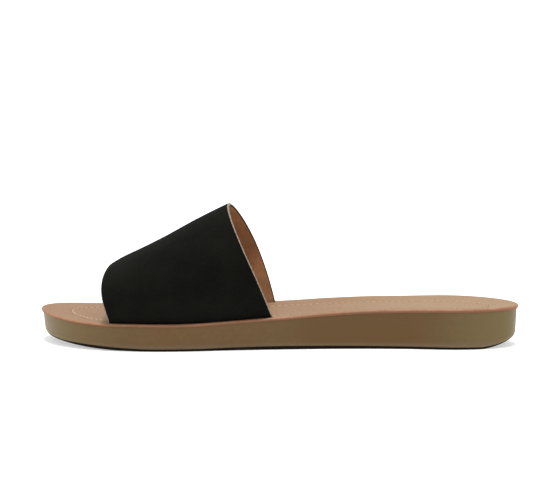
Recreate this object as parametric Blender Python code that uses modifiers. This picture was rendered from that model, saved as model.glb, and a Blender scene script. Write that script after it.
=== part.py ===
"""Slide sandal, left shoe: a moulded unit sole, a footbed that laps over it, and one wide strap.

The toe points to -X, the heel to +X, the lateral side to -Y, and the sole stands on Z = 0.
The origin is under the middle of the shoe. Lengths are in metres.
"""

import math
from typing import NamedTuple

import bmesh
import bpy
from mathutils import Vector

# Plan of the footbed, whose edge is the widest line of the shoe.
LENGTH = 0.2520
BALL_WIDTH = 0.0870
WAIST_WIDTH = 0.0610
HEEL_WIDTH = 0.0600
TOE_ROUND = 0.0450  # how far back from the tip the round of the toe reaches
HEEL_ROUND = 0.0400
TOE_SWING = 0.0050  # the tip lies this far to the medial side
HEEL_SWING = 0.0045  # the back of the heel lies this far to the lateral side
TOE_POWER = 2.0  # 2 is an ellipse, more is squarer
HEEL_POWER = 2.0

# Heights of the footbed's edge above the floor, and the lift of the bottom.
BALL_TOP = 0.0143
HEEL_TOP = 0.0214
TOE_RISE = 0.0029  # the tip's edge stands this much above the ball's
TOE_SPRING = 0.0050
TOE_SPRING_RUN = 0.0620
TOE_RISE_RUN = 0.0360
ARCH_LIFT = 0.0004
HEEL_LIFT = 0.0030
HEEL_LIFT_RUN = 0.0220
LIFT_POWER = 1.6

# Sole and footbed sections.
BOTTOM_RADIUS = 0.0030
WALL_TAPER = 0.0006
TOE_TAPER = 0.0004  # more taper at the very toe
LIP = 0.0009  # the footbed laps over the sole's wall by this much
FOOTBED_THICK = 0.0020
EDGE_ROUND = 0.0010
CUP_DEPTH = 0.0014
CUP_RUN = 0.0150
CLEARANCE = 0.0003  # between pieces that touch

# Strap.
STRAP_WALL = 0.0019
STRAP_FRONT = 0.0398  # from the tip to the front end of the strap's foot
STRAP_FOOT = 0.0853  # length of the strap's foot, along the shoe
SLOT_INSET = 0.0028  # from the footbed's edge to the strap's outer face
SLOT_DEPTH = 0.0030  # how far the strap's ends reach into the sole
FRONT_CREST = 0.0261  # height of the front edge's crest over the footbed's edge
COLLAR_CREST = 0.0558
FRONT_BULGE = 0.0011  # the front edge swings this far towards the toe at two thirds of its height
FRONT_SETBACK = 0.0038  # the front crest lies this far towards the toe from its foot
COLLAR_SETBACK = 0.0256  # the collar's crest lies this far towards the toe from its foot
FRONT_BELLY = 0.0035  # the wall swells this far past its foot
COLLAR_BELLY = 0.0085
FRONT_DROOP = 0.0012  # the front edge's crest curls down this much
DROOP_RUN = 0.0140
CREST_CROWN = 0.0006  # the line of crests rises this much above a straight line
CREST_WAVE = 0.0005  # it dips this much nearer the toe and rises as much nearer the collar
CREST_SHIFT = 0.0030  # the crest lies this far to the medial side
MEDIAL_LEAD = 0.0025  # the medial foot ends this much nearer the toe
FRONT_WIDEST = 0.36  # share of its height where the front arch is widest
COLLAR_WIDEST = 0.50
FRONT_ROUND = 2.30  # power of the arch's top, where 2 is an ellipse
COLLAR_ROUND = 2.03
BELLY_POWER = 1.7
LATERAL_LEAN = 0.26  # share of the collar's setback that gathers towards its crest
MEDIAL_LEAN = 0.30

# Counts of the lofts.
STATIONS = 38  # steps from toe to heel along each side
CUP_RINGS = (0.35, 0.65, 1.00)  # rings across the cup, as shares of its run
SHARP_ANGLE = 40  # degrees
ROUND_STEPS = 4
FILL_COLUMNS = 3
STRAP_STEPS = 9
FOOT_STEPS = 2
SIDE_STEPS = 4
TOP_STEPS = 8

LATERAL, MEDIAL = -1, 1


class PlanRow(NamedTuple):
    """Half widths at one station, each as a share of a named width's half."""

    along: float
    width: float
    lateral: float
    medial: float


class HeightRow(NamedTuple):
    """Rise of the footbed's edge from ball to heel, and depth of the cup, as shares."""

    along: float
    rise: float
    cup: float
    arch: float


PLAN = (
    PlanRow(0.00, BALL_WIDTH, 0.955, 0.955),
    PlanRow(0.12, BALL_WIDTH, 0.965, 0.965),
    PlanRow(0.25, BALL_WIDTH, 1.035, 0.980),
    PlanRow(0.33, BALL_WIDTH, 0.985, 0.945),
    PlanRow(0.43, BALL_WIDTH, 0.850, 0.865),
    PlanRow(0.53, WAIST_WIDTH, 1.075, 1.170),
    PlanRow(0.64, WAIST_WIDTH, 0.960, 1.050),
    PlanRow(0.75, HEEL_WIDTH, 0.940, 0.995),
    PlanRow(0.86, HEEL_WIDTH, 1.000, 1.000),
    PlanRow(1.00, HEEL_WIDTH, 1.020, 0.950),
)

HEIGHTS = (
    HeightRow(0.00, 0.00, 0.20, 0.0),
    HeightRow(0.30, 0.00, 0.35, 0.0),
    HeightRow(0.41, 0.16, 0.55, 0.0),
    HeightRow(0.53, 0.46, 0.80, 0.7),
    HeightRow(0.60, 0.68, 0.95, 1.0),
    HeightRow(0.68, 0.86, 1.00, 0.7),
    HeightRow(0.76, 0.94, 1.00, 0.0),
    HeightRow(0.86, 1.00, 1.00, 0.0),
    HeightRow(1.00, 1.00, 1.00, 0.0),
)


def slope_at(places, values, index):
    """Slope of a smooth curve through the values at one of its places, level at a peak or a flat."""
    before = max(index - 1, 0)
    after = min(index + 1, len(places) - 1)
    if (values[index] - values[before]) * (values[after] - values[index]) <= 0:
        return 0.0
    return (values[after] - values[before]) / (places[after] - places[before])


def smooth_through(places, values, at):
    """A smooth curve through the values, read at one place and flat past the ends."""
    if at <= places[0]:
        return values[0]
    for index in range(len(places) - 1):
        start, end = places[index], places[index + 1]
        if at > end:
            continue
        span = end - start
        u = (at - start) / span
        first = slope_at(places, values, index) * span
        last = slope_at(places, values, index + 1) * span
        rise = values[index + 1] - values[index]
        curved = u * u * (3 * rise - 2 * first - last) + u**3 * (first + last - 2 * rise)
        return values[index] + u * first + curved
    return values[-1]


def share_of_length(x):
    return (x + LENGTH / 2) / LENGTH


def read_heights(column, x):
    places = [row.along for row in HEIGHTS]
    values = [getattr(row, column) for row in HEIGHTS]
    return smooth_through(places, values, share_of_length(x))


def end_round(distance, reach, power):
    """1 along the shoe, falling to 0 where the outline closes round an end."""
    if distance >= reach:
        return 1.0
    left = 1 - max(distance, 0.0) / reach
    return (1 - left**power) ** (1 / power)


def end_swing(distance, reach):
    return max(1 - distance / reach, 0.0) ** 2


def outline_y(x, side):
    """Y of the footbed's edge on one side."""
    places = [row.along for row in PLAN]
    halves = [row.width / 2 * (row.lateral if side == LATERAL else row.medial) for row in PLAN]
    toe_gap = x + LENGTH / 2
    heel_gap = LENGTH / 2 - x
    half = smooth_through(places, halves, share_of_length(x))
    half *= end_round(toe_gap, TOE_ROUND, TOE_POWER) * end_round(heel_gap, HEEL_ROUND, HEEL_POWER)
    swing = TOE_SWING * end_swing(toe_gap, TOE_ROUND) - HEEL_SWING * end_swing(heel_gap, HEEL_ROUND)
    return swing + side * half


def outline_point(turn, side):
    """Point of the footbed's edge, where turn runs from 0 at the tip to 1 at the heel."""
    x = -LENGTH / 2 * math.cos(math.pi * turn)
    return Vector((x, outline_y(x, side), 0))


def outline_inward(turn, side):
    """Unit vector across the edge, towards the inside of the shoe."""
    step = 1e-3
    if turn <= 0 or turn >= 1:
        along = outline_point(abs(turn - step), MEDIAL) - outline_point(abs(turn - step), LATERAL)
        along *= side if turn <= 0 else -side
    else:
        along = outline_point(turn + step, side) - outline_point(turn - step, side)
    return Vector((along.y, -along.x, 0)).normalized() * side


def inset_point(turn, side, inset):
    return outline_point(turn, side) + outline_inward(turn, side) * inset


def edge_top(x):
    """Height of the footbed's edge above the floor."""
    tip_share = max(1 - (x + LENGTH / 2) / TOE_RISE_RUN, 0.0)
    return BALL_TOP + (HEEL_TOP - BALL_TOP) * read_heights("rise", x) + TOE_RISE * tip_share**LIFT_POWER


def bottom_lift(x):
    """Height of the sole's bottom above the floor: toe spring, arch and the heel's back edge."""
    toe_share = max(1 - (x + LENGTH / 2) / TOE_SPRING_RUN, 0.0)
    heel_share = max(1 - (LENGTH / 2 - x) / HEEL_LIFT_RUN, 0.0)
    ends = TOE_SPRING * toe_share**LIFT_POWER + HEEL_LIFT * heel_share**LIFT_POWER
    return ends + ARCH_LIFT * read_heights("arch", x)


def cup_fall(x, inset):
    """How far the footbed lies below its own edge."""
    u = min(max((inset - EDGE_ROUND) / (CUP_RUN - EDGE_ROUND), 0.0), 1.0)
    return CUP_DEPTH * read_heights("cup", x) * u * u * (3 - 2 * u)


class Loft:
    """A closed body of rings round the outline, from its underside, out and up, to its top."""

    def __init__(self):
        self.mesh = bmesh.new()
        self.last = None

    def ring(self, inset_at, height_at):
        """Adds one ring and joins it to the ring before."""
        steps = [(turn / STATIONS, LATERAL) for turn in range(STATIONS + 1)]
        steps += [(turn / STATIONS, MEDIAL) for turn in range(STATIONS - 1, 0, -1)]
        verts = []
        for turn, side in steps:
            place = inset_point(turn, side, inset_at(outline_point(turn, side).x))
            place.z = height_at(place.x)
            verts.append(self.mesh.verts.new(place))
        for here in range(len(verts)) if self.last else ():
            after = (here + 1) % len(verts)
            self.mesh.faces.new((self.last[here], self.last[after], verts[after], verts[here]))
        self.last = verts
        return verts

    def fill(self, ring, height_at, faces_up):
        """Closes a ring with strips from its lateral to its medial side."""
        rows = []
        for index in range(1, STATIONS):
            near, far = ring[index], ring[-index]
            row = [near]
            for column in range(1, FILL_COLUMNS + 1):
                place = near.co.lerp(far.co, column / (FILL_COLUMNS + 1))
                place.z = height_at(place.x)
                row.append(self.mesh.verts.new(place))
            rows.append(row + [far])
        strips = [([ring[0]] * len(rows[0]), rows[0]), (rows[-1], [ring[STATIONS]] * len(rows[0]))]
        strips += list(zip(rows, rows[1:]))
        for first, second in strips:
            for column in range(len(first) - 1):
                loop = [first[column], second[column], second[column + 1], first[column + 1]]
                corners = list(dict.fromkeys(loop))
                self.mesh.faces.new(corners if faces_up else corners[::-1])

    def finish(self, name, collection, material):
        return make_object(name, self.mesh, collection, material)


def make_object(name, mesh, collection, material):
    data = bpy.data.meshes.new(name)
    mesh.to_mesh(data)
    mesh.free()
    data.shade_smooth()
    data.set_sharp_from_angle(angle=math.radians(SHARP_ANGLE))
    piece = bpy.data.objects.new(name, data)
    collection.objects.link(piece)
    if material:
        data.materials.append(material)
    return piece


def make_material(name, colour, roughness):
    material = bpy.data.materials.new(name)
    material.use_nodes = True
    shader = material.node_tree.nodes["Principled BSDF"]
    shader.inputs["Base Color"].default_value = (*colour, 1)
    shader.inputs["Roughness"].default_value = roughness
    shader.inputs["Metallic"].default_value = 0.0
    return material


def quarter(step, steps):
    angle = math.pi / 2 * step / steps
    return math.sin(angle), math.cos(angle)


def make_sole(collection, material):
    """The unit sole: rounded bottom edge, upright wall, and a shallow seat for the footbed."""

    def wall_foot(x):
        tip_share = max(1 - (x + LENGTH / 2) / TOE_ROUND, 0.0)
        return LIP + WALL_TAPER + TOE_TAPER * tip_share

    def seat(inset):
        drop = FOOTBED_THICK + CLEARANCE
        return lambda x: edge_top(x) - drop - cup_fall(x, inset)

    loft = Loft()
    lowest = loft.ring(lambda x: wall_foot(x) + BOTTOM_RADIUS, bottom_lift)
    for step in range(1, ROUND_STEPS + 1):
        out, up = quarter(step, ROUND_STEPS)
        loft.ring(
            lambda x, out=out: wall_foot(x) + BOTTOM_RADIUS * (1 - out),
            lambda x, up=up: bottom_lift(x) + BOTTOM_RADIUS * (1 - up),
        )
    for inset in (LIP, *(CUP_RUN * share for share in CUP_RINGS)):
        ring = loft.ring(lambda x, inset=inset: inset, seat(inset))
    loft.fill(lowest, bottom_lift, faces_up=False)
    loft.fill(ring, seat(CUP_RUN), faces_up=True)
    return loft.finish("sole", collection, material)


def make_footbed(collection, material):
    """The footbed: a sheet with a rounded edge, cupped like the sole's seat."""

    def face(inset, drop):
        return lambda x: edge_top(x) - drop - cup_fall(x, inset)

    loft = Loft()
    insets = [CUP_RUN * share for share in CUP_RINGS]
    lowest = None
    for inset in reversed(insets):
        ring = loft.ring(lambda x, inset=inset: inset, face(inset, FOOTBED_THICK))
        lowest = lowest or ring
    half_thick = FOOTBED_THICK / 2
    for step in range(2 * ROUND_STEPS + 1):
        out, up = quarter(step, ROUND_STEPS)
        inset = EDGE_ROUND * (1 - out)
        loft.ring(lambda x, inset=inset: inset, face(inset, half_thick * (1 + up)))
    for inset in insets:
        ring = loft.ring(lambda x, inset=inset: inset, face(inset, 0))
    loft.fill(lowest, face(CUP_RUN, FOOTBED_THICK), faces_up=False)
    loft.fill(ring, face(CUP_RUN, 0), faces_up=True)
    return loft.finish("footbed", collection, material)


def foot_x(t, side):
    """X along the strap's foot, where t runs from the front edge to the collar."""
    length = STRAP_FOOT - (MEDIAL_LEAD if side == MEDIAL else 0)
    return -LENGTH / 2 + STRAP_FRONT + length * t


def foot_place(x, side, inset):
    """Point at this inset from the edge nearest this X, in plan."""
    turn = math.acos(max(min(-2 * x / LENGTH, 1), -1)) / math.pi
    return inset_point(turn, side, inset)


def between(front, collar, t):
    return front + (collar - front) * t


def crest_height(t):
    """Height of the strap's crest over the footbed's edge."""
    droop = FRONT_DROOP * max(1 - t * STRAP_FOOT / DROOP_RUN, 0.0) ** 2
    curve = CREST_CROWN * 4 * t * (1 - t) - CREST_WAVE * math.sin(2 * math.pi * t)
    return between(FRONT_CREST, COLLAR_CREST, t) + curve - droop


def strap_half(t, side):
    """Points of the strap's outer face at one t, from its foot up to just under the crest."""
    x_foot = foot_x(t, side)
    foot = foot_place(x_foot, side, SLOT_INSET)
    base = edge_top(x_foot)
    rise = edge_top(foot_x(t, LATERAL)) + crest_height(t) - base
    belly = between(FRONT_BELLY, COLLAR_BELLY, t)
    widest = between(FRONT_WIDEST, COLLAR_WIDEST, t)
    power = 2 / between(FRONT_ROUND, COLLAR_ROUND, t)
    lean = LATERAL_LEAN if side == LATERAL else MEDIAL_LEAN

    def place(share, y):
        bulge = FRONT_BULGE * 6.75 * share**2 * (1 - share)
        leaned = share * (1 - lean * (1 - share))
        back = between(FRONT_SETBACK * share + bulge, COLLAR_SETBACK * leaned, t)
        lead = (foot_x(t, LATERAL) - foot.x) * share
        return Vector((foot.x + lead - back, y, base + rise * share))

    points = []
    for step in range(SIDE_STEPS):
        share = widest * step / SIDE_STEPS
        swell = belly * (1 - (1 - share / widest) ** BELLY_POWER)
        points.append(place(share, foot.y + side * swell))
    half = side * (foot.y + side * belly - CREST_SHIFT)
    for step in range(TOP_STEPS):
        up, out = quarter(step, TOP_STEPS)
        share = widest + (1 - widest) * up**power
        points.append(place(share, CREST_SHIFT + side * half * out**power))
    return foot, points, place(1.0, CREST_SHIFT)


def strap_row(t):
    """Points across the strap at one t, from one hidden end over the crest to the other."""
    halves = []
    for side in (LATERAL, MEDIAL):
        foot, points, crest = strap_half(t, side)
        depth = FOOTBED_THICK + CLEARANCE + SLOT_DEPTH
        falls = [depth * (1 - step / FOOT_STEPS) for step in range(FOOT_STEPS)]
        hidden = [Vector((foot.x, foot.y, points[0].z - fall)) for fall in falls]
        halves.append(hidden + points)
    return halves[0] + [crest] + halves[1][::-1]


def grid_object(name, rows, collection, material):
    """An open sheet over rows of points."""
    mesh = bmesh.new()
    verts = [[mesh.verts.new(point) for point in row] for row in rows]
    for row, after in zip(verts, verts[1:]):
        for column in range(len(row) - 1):
            mesh.faces.new((row[column], after[column], after[column + 1], row[column + 1]))
    return make_object(name, mesh, collection, material)


def make_strap(collection, material):
    """The strap: one wall of even thickness, its ends reaching down through the footbed."""
    rows = [strap_row(step / STRAP_STEPS) for step in range(STRAP_STEPS + 1)]
    strap = grid_object("strap", rows, collection, material)
    wall = strap.modifiers.new("wall", "SOLIDIFY")
    wall.thickness = STRAP_WALL
    wall.offset = -1
    wall.use_even_offset = True
    return strap


def make_slot_cutter(side, collection):
    """A curved plate a little larger than the strap's end, which cuts its slot."""
    over = CLEARANCE / STRAP_FOOT
    rows = []
    for step in range(STRAP_STEPS + 1):
        t = -over + (1 + 2 * over) * step / STRAP_STEPS
        x = foot_x(t, side)
        foot = foot_place(x, side, SLOT_INSET - CLEARANCE)
        top = edge_top(x) + FOOTBED_THICK
        bottom = edge_top(x) - FOOTBED_THICK - SLOT_DEPTH - 2 * CLEARANCE
        rows.append([Vector((foot.x, foot.y, bottom)), Vector((foot.x, foot.y, top))][::-side])
    cutter = grid_object(f"slot_cutter_{'lateral' if side == LATERAL else 'medial'}", rows, collection, None)
    plate = cutter.modifiers.new("plate", "SOLIDIFY")
    plate.thickness = STRAP_WALL + 2 * CLEARANCE
    plate.offset = -1
    plate.use_even_offset = True
    cutter.display_type = "WIRE"
    cutter.hide_render = True
    return cutter


def cut(piece, cutter):
    slot = piece.modifiers.new(cutter.name, "BOOLEAN")
    slot.operation = "DIFFERENCE"
    slot.solver = "EXACT"
    slot.object = cutter


def middle_y():
    """Y half way between the widest points of the strap, which is the widest piece."""
    reach = [point.y for step in range(STRAP_STEPS + 1) for point in strap_row(step / STRAP_STEPS)]
    return (min(reach) + max(reach)) / 2


def main():
    for old in list(bpy.data.objects):
        bpy.data.objects.remove(old)
    sandal = bpy.data.collections.new("slide_sandal")
    cutters = bpy.data.collections.new("cutters")
    for collection in (sandal, cutters):
        bpy.context.scene.collection.children.link(collection)
    taupe = make_material("moulded_sole", (0.150, 0.093, 0.048), 0.45)
    tan = make_material("tan_footbed", (0.480, 0.315, 0.205), 0.60)
    black = make_material("black_nubuck", (0.008, 0.008, 0.007), 0.90)
    sole = make_sole(sandal, taupe)
    footbed = make_footbed(sandal, tan)
    pieces = [sole, footbed, make_strap(sandal, black)]
    for side in (LATERAL, MEDIAL):
        cutter = make_slot_cutter(side, cutters)
        cut(sole, cutter)
        cut(footbed, cutter)
        pieces.append(cutter)
    middle = bpy.data.objects.new("middle", None)
    sandal.objects.link(middle)
    for piece in pieces:
        piece.parent = middle
    middle.location.y = -middle_y()


main()
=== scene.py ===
"""Slide sandal, left shoe: its fine forms, finishes and studio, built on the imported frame.

The toe points to -X, the heel to +X, the lateral side to -Y, and the sole stands on Z = 0.
Lengths are in metres.
"""

import logging
import math
from collections.abc import Callable, Iterable, Sequence
from dataclasses import dataclass, field
from enum import IntEnum
from typing import Any, NamedTuple

import bmesh
import bpy
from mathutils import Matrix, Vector


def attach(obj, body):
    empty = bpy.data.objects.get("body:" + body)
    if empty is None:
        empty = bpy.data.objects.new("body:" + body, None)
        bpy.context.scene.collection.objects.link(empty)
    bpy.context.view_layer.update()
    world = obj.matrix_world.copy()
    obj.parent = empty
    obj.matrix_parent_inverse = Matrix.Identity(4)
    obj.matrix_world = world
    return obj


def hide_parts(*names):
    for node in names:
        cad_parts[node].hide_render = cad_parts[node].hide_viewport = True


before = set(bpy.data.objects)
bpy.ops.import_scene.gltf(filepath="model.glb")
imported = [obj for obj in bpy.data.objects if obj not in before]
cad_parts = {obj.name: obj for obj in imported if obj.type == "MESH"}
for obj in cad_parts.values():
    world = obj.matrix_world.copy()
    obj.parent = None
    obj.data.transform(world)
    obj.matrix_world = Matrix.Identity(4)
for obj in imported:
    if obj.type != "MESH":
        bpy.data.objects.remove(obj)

LOG = logging.getLogger("slide_sandal")

Colour = tuple[float, float, float]
Span = tuple[float, float]
Along = Callable[[float], float]

LENGTHWISE = (0.35, 1.0, 1.0)
CUBIC_PEAK = 6.75  # Brings the greatest value of share squared times 1 - share to 1.


class Side(IntEnum):
    """The two sides of the shoe, as the sign of Y."""

    LATERAL = -1
    MEDIAL = 1


class Layer(IntEnum):
    """The strap's three finishes, as the numbers of its material slots."""

    NUBUCK = 0
    LINING = 1
    RAW_EDGE = 2


def linear(red: int, green: int, blue: int) -> Colour:
    """Turns a display colour into the shader's linear scale.

    Args:
        red: Red, 0 to 255.
        green: Green, 0 to 255.
        blue: Blue, 0 to 255.

    Returns:
        The colour in linear light.
    """

    def channel(value: int) -> float:
        """One channel in linear light."""
        share = value / 255
        return share / 12.92 if share <= 0.04045 else ((share + 0.055) / 1.055) ** 2.4

    return channel(red), channel(green), channel(blue)


def slope_at(places: Sequence[float], values: Sequence[float], index: int) -> float:
    """Slope of a smooth curve through the values, level at a peak or a flat.

    Args:
        places: Where the values stand.
        values: The values.
        index: Which of them.

    Returns:
        The slope there.
    """
    before = max(index - 1, 0)
    after = min(index + 1, len(places) - 1)
    if (values[index] - values[before]) * (values[after] - values[index]) <= 0:
        return 0.0
    return (values[after] - values[before]) / (places[after] - places[before])


def smooth_through(places: Sequence[float], values: Sequence[float], at: float) -> float:
    """Reads a smooth curve through the values, flat past its ends.

    Args:
        places: Where the values stand, in rising order.
        values: The values.
        at: Where the curve is read.

    Returns:
        The curve's value there.
    """
    if at <= places[0]:
        return values[0]
    for index in range(len(places) - 1):
        start, end = places[index], places[index + 1]
        if at > end:
            continue
        span = end - start
        u = (at - start) / span
        first = slope_at(places, values, index) * span
        last = slope_at(places, values, index + 1) * span
        rise = values[index + 1] - values[index]
        curved = u * u * (3 * rise - 2 * first - last) + u**3 * (first + last - 2 * rise)
        return values[index] + u * first + curved
    return values[-1]


def smooth_step(start: float, end: float, value: float) -> float:
    """A soft step of this value, from 0 at start to 1 at end."""
    u = min(max((value - start) / (end - start), 0.0), 1.0)
    return u * u * (3 - 2 * u)


def quarter(step: int, steps: int) -> tuple[float, float]:
    """Sine and cosine along a quarter turn, at this step of so many."""
    angle = math.pi / 2 * step / steps
    return math.sin(angle), math.cos(angle)


class PlanRow(NamedTuple):
    """Half widths at one station, each as a share of a named width's half."""

    along: float
    width: str
    lateral: float
    medial: float


class HeightRow(NamedTuple):
    """Rise of the footbed's edge from ball to heel, and depth of its cup, as shares."""

    along: float
    rise: float
    cup: float


class TreadRow(NamedTuple):
    """Height of the tread's near-black edge at one station, whose band also serves as painted shadow under the sole's
    foot.
    """

    along: float
    tall: float


PLAN = (
    PlanRow(0.00, "ball_width", 0.955, 0.955),
    PlanRow(0.12, "ball_width", 0.965, 0.965),
    PlanRow(0.25, "ball_width", 1.035, 0.980),
    PlanRow(0.33, "ball_width", 0.985, 0.945),
    PlanRow(0.43, "ball_width", 0.850, 0.865),
    PlanRow(0.53, "waist_width", 1.075, 1.170),
    PlanRow(0.64, "waist_width", 0.960, 1.050),
    PlanRow(0.75, "heel_width", 0.940, 0.995),
    PlanRow(0.86, "heel_width", 1.000, 1.000),
    PlanRow(1.00, "heel_width", 1.020, 0.950),
)

HEIGHTS = (
    HeightRow(0.00, 0.00, 0.30),
    HeightRow(0.30, 0.00, 0.45),
    HeightRow(0.41, 0.16, 0.60),
    HeightRow(0.53, 0.46, 0.80),
    HeightRow(0.60, 0.68, 0.95),
    HeightRow(0.68, 0.86, 1.00),
    HeightRow(0.76, 0.94, 1.00),
    HeightRow(0.86, 1.00, 1.00),
    HeightRow(1.00, 1.00, 1.00),
)

# The near-black tread edge is thickest at the waist, where it also stands for the shadow in the gap under the sole:
# painted shadow.
TREAD_EDGE = (
    TreadRow(0.00, 0.0002),
    TreadRow(0.05, 0.0002),
    TreadRow(0.10, 0.0007),
    TreadRow(0.15, 0.0011),
    TreadRow(0.34, 0.0012),
    TreadRow(0.42, 0.0015),
    TreadRow(0.51, 0.0018),
    TreadRow(0.59, 0.0017),
    TreadRow(0.75, 0.0014),
    TreadRow(0.84, 0.0012),
    TreadRow(0.93, 0.0010),
    TreadRow(0.97, 0.0005),
    TreadRow(1.00, 0.0002),
)


def read_column(rows: Sequence[NamedTuple], name: str, along: float) -> float:
    """Reads one column of a table as a smooth curve, where along is 0 at the tip and 1 at the heel."""
    return smooth_through([row.along for row in rows], [getattr(row, name) for row in rows], along)


@dataclass(frozen=True)
class Last:
    """Plan and heights that the sole, the footbed and the strap share."""

    length: float = 0.2520
    ball_width: float = 0.0870
    waist_width: float = 0.0610
    heel_width: float = 0.0600
    toe_round: float = 0.0450
    heel_round: float = 0.0400
    toe_swing: float = 0.0050
    heel_swing: float = 0.0045
    end_power: float = 2.0
    ball_top: float = 0.0143
    heel_top: float = 0.0214
    toe_rise: float = 0.0029
    toe_rise_run: float = 0.0360
    toe_spring: float = 0.0050
    toe_spring_run: float = 0.0620
    heel_lift: float = 0.0058
    heel_lift_run: float = 0.0200
    lift_power: float = 1.6
    edge_round: float = 0.0010
    cup_depth: float = 0.0015
    cup_run: float = 0.0150
    footbed_thick: float = 0.0020
    thin_rim: float = 0.80
    thin_span: Span = (0.42, 0.62)
    clearance: float = 0.0003
    ease_run: float = 0.0240
    ease_weight: float = 1000.0
    ease_insets: Span = (0.0015, 0.0120)
    middle_y: float = -0.001161534

    def share(self, x: float) -> float:
        """How far along the shoe this X lies, 0 at the tip and 1 at the heel."""
        return (x + self.length / 2) / self.length

    def heights(self, column: str, x: float) -> float:
        """One column of the table of heights, read at this X."""
        return read_column(HEIGHTS, column, self.share(x))

    def near_toe(self, x: float, run: float) -> float:
        """1 at the tip, falling to 0 at this run from it."""
        return max(1 - (x + self.length / 2) / run, 0.0)

    def near_heel(self, x: float, run: float) -> float:
        """1 at the heel's end, falling to 0 at this run from it."""
        return max(1 - (self.length / 2 - x) / run, 0.0)

    def end_round(self, near: float) -> float:
        """Closes the outline round an end, where near is 1 at the end and 0 along the shoe."""
        return (1 - min(near, 1.0) ** self.end_power) ** (1 / self.end_power)

    def outline_y(self, x: float, side: Side) -> float:
        """Y of the footbed's edge.

        Args:
            x: Where along the shoe.
            side: Which side.

        Returns:
            Y of the edge, before the whole shoe is centred.
        """
        halves = [getattr(self, row.width) / 2 * (row.lateral, row.medial)[side == Side.MEDIAL] for row in PLAN]
        half = smooth_through([row.along for row in PLAN], halves, self.share(x))
        toe, heel = self.near_toe(x, self.toe_round), self.near_heel(x, self.heel_round)
        half *= self.end_round(toe) * self.end_round(heel)
        return self.toe_swing * toe**2 - self.heel_swing * heel**2 + side * half

    def outline_point(self, turn: float, side: Side) -> Vector:
        """Point of the footbed's edge in plan, where turn is 0 at the tip and 1 at the heel."""
        x = -self.length / 2 * math.cos(math.pi * turn)
        return Vector((x, self.outline_y(x, side), 0))

    def outline_inward(self, turn: float, side: Side) -> Vector:
        """Direction across the edge.

        Args:
            turn: 0 at the tip and 1 at the heel.
            side: Which side.

        Returns:
            The unit vector towards the inside of the shoe.
        """
        step = 1e-3
        if turn <= 0 or turn >= 1:
            near = abs(turn - step)
            along = self.outline_point(near, Side.MEDIAL) - self.outline_point(near, Side.LATERAL)
            along *= side if turn <= 0 else -side
        else:
            along = self.outline_point(turn + step, side) - self.outline_point(turn - step, side)
        return Vector((along.y, -along.x, 0)).normalized() * side

    def inset_point(self, turn: float, side: Side, inset: float) -> Vector:
        """Point at this inset from the edge, in plan."""
        return self.outline_point(turn, side) + self.outline_inward(turn, side) * inset

    def edge_top(self, x: float) -> float:
        """Height of the footbed's edge above the floor."""
        rise = (self.heel_top - self.ball_top) * self.heights("rise", x)
        return self.ball_top + rise + self.toe_rise * self.near_toe(x, self.toe_rise_run) ** self.lift_power

    def bottom_lift(self, x: float) -> float:
        """Height of the sole's bottom above the floor: the toe's spring and the heel's back edge."""
        toe, heel = self.near_toe(x, self.toe_spring_run), self.near_heel(x, self.heel_lift_run)
        return self.toe_spring * toe**self.lift_power + self.heel_lift * heel**self.lift_power

    def thick(self, x: float) -> float:
        """Thickness of the footbed, a little less under the ball and the toe."""
        full = smooth_step(*self.thin_span, self.share(x))
        return self.footbed_thick * (self.thin_rim + (1 - self.thin_rim) * full)

    def cup_fall(self, x: float, inset: float) -> float:
        """How far the footbed lies below its own edge."""
        return self.cup_depth * self.heights("cup", x) * smooth_step(self.edge_round, self.cup_run, inset)


def deselect_all() -> None:
    """Leaves nothing selected, so that an operator acts on the new piece alone."""
    bpy.ops.object.select_all(action="DESELECT")


def take_up(piece: bpy.types.Object) -> None:
    """Makes this the only selected piece and the active one.

    Args:
        piece: The piece.
    """
    deselect_all()
    piece.select_set(True)
    bpy.context.view_layer.objects.active = piece


def name_new(name: str) -> bpy.types.Object:
    """Names the piece that was just added, and its mesh.

    Args:
        name: The name.

    Returns:
        The piece.
    """
    piece = bpy.context.object
    piece.name = piece.data.name = name
    return piece


def apply_all(piece: bpy.types.Object) -> None:
    """Applies every modifier of a piece, in order.

    Args:
        piece: The piece.
    """
    take_up(piece)
    for name in [modifier.name for modifier in piece.modifiers]:
        bpy.ops.object.modifier_apply(modifier=name)


def smooth(piece: bpy.types.Object, angle: float) -> None:
    """Shades a piece smooth, with edges sharper than this angle in degrees left crisp."""
    take_up(piece)
    bpy.ops.object.shade_smooth_by_angle(angle=math.radians(angle))


def hand_in(piece: bpy.types.Object, nodes: Iterable[str] = ()) -> bpy.types.Object:
    """Sets a finished piece on its body and hides the imported nodes that it replaces.

    Args:
        piece: The piece.
        nodes: The nodes that it replaces.

    Returns:
        The piece.
    """
    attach(piece, "root")
    if nodes:
        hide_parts(*nodes)
    LOG.info("%s: %d faces", piece.name, len(piece.data.polygons))
    return piece


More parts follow.
